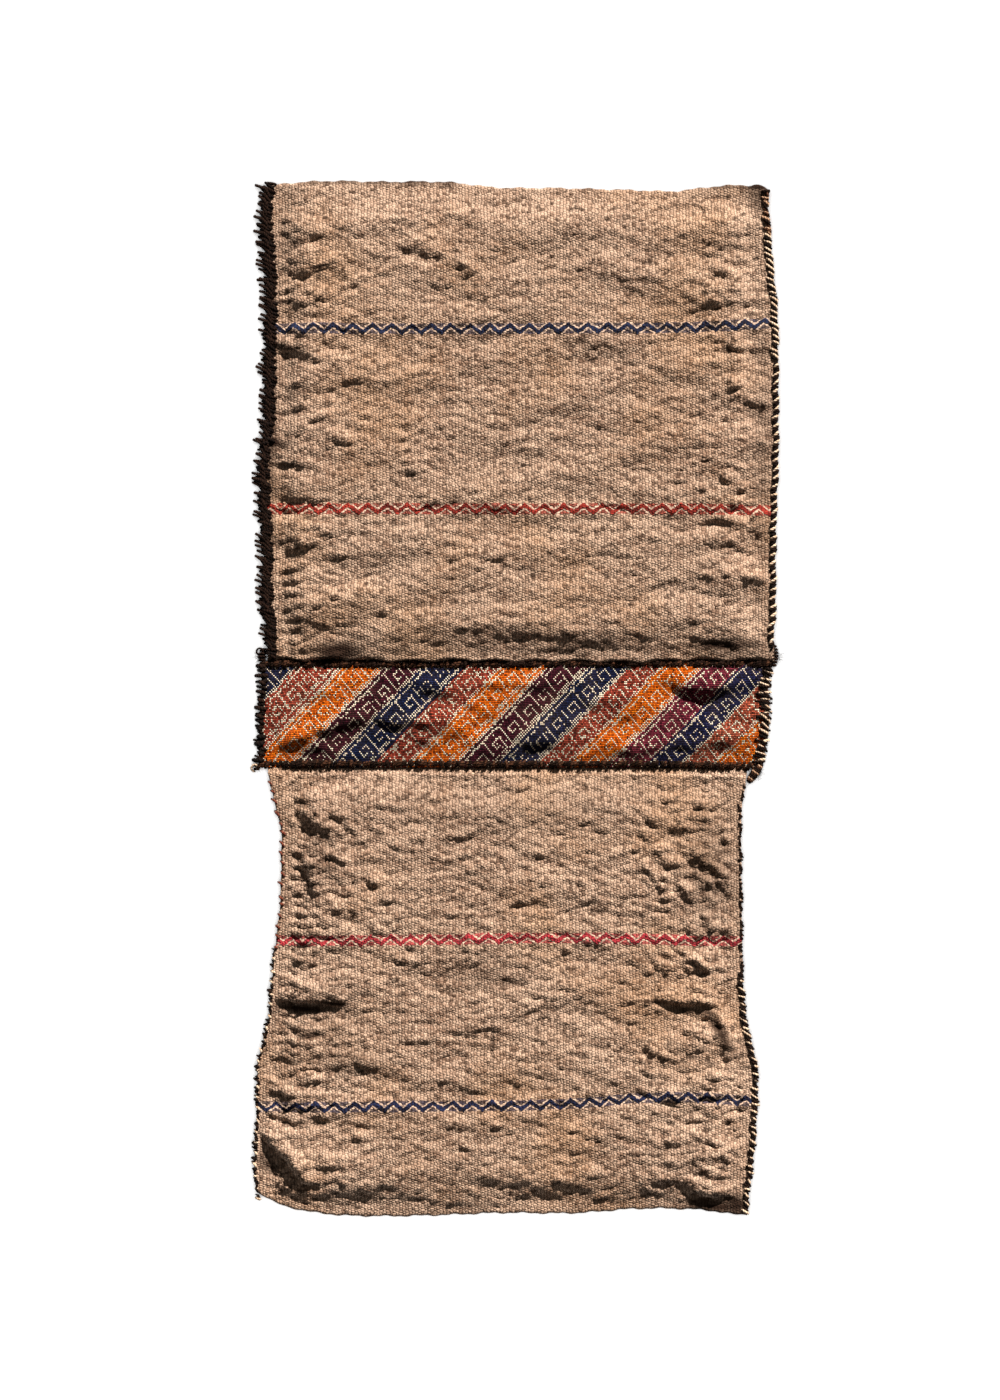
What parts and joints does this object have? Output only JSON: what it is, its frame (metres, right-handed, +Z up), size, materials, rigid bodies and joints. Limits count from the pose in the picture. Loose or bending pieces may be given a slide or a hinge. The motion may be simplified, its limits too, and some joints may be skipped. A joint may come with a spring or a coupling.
{
  "type": "saddle bag",
  "caption": "Flat-lying woven wool saddle bag: a pouch of folded plain cloth at each end, mouths facing a brocaded bridge panel, overcast yarn seams.",
  "frame": {"origin": "middle of the bag's footprint, on the surface it lies on", "axes": "+Y along the bag towards the upper pouch, +Z up from the surface to the face with the pouch mouths, +X across the bag"},
  "size_m": [0.502, 0.9854, 0.018],
  "materials": {
    "plain_cloth": "coarse plain-woven wool, undyed beige flecked with dark fibres",
    "brocade": "weft-wrapped wool in orange, plum, navy and rose with cream outlines",
    "dark_yarn": "hairy dark-brown goat-hair and wool yarn",
    "paired_yarn": "black and cream wool yarn in alternate stitches"
  },
  "bodies": {
    "root": {"upper_pouch_cloth": "plain_cloth", "lower_pouch_cloth": "plain_cloth", "bridge_panel": "brocade", "upper_join_seam": "dark_yarn", "lower_join_seam": "dark_yarn", "upper_left_side_seam": "dark_yarn", "upper_right_side_seam": "paired_yarn", "lower_left_side_seam": "dark_yarn", "lower_right_side_seam": "paired_yarn", "bridge_left_binding": "dark_yarn", "bridge_right_binding": "paired_yarn", "upper_left_corner_wrap": "dark_yarn", "upper_right_corner_wrap": "dark_yarn", "lower_left_corner_wrap": "dark_yarn", "lower_right_corner_wrap": "dark_yarn"}
  },
  "joints": []
}
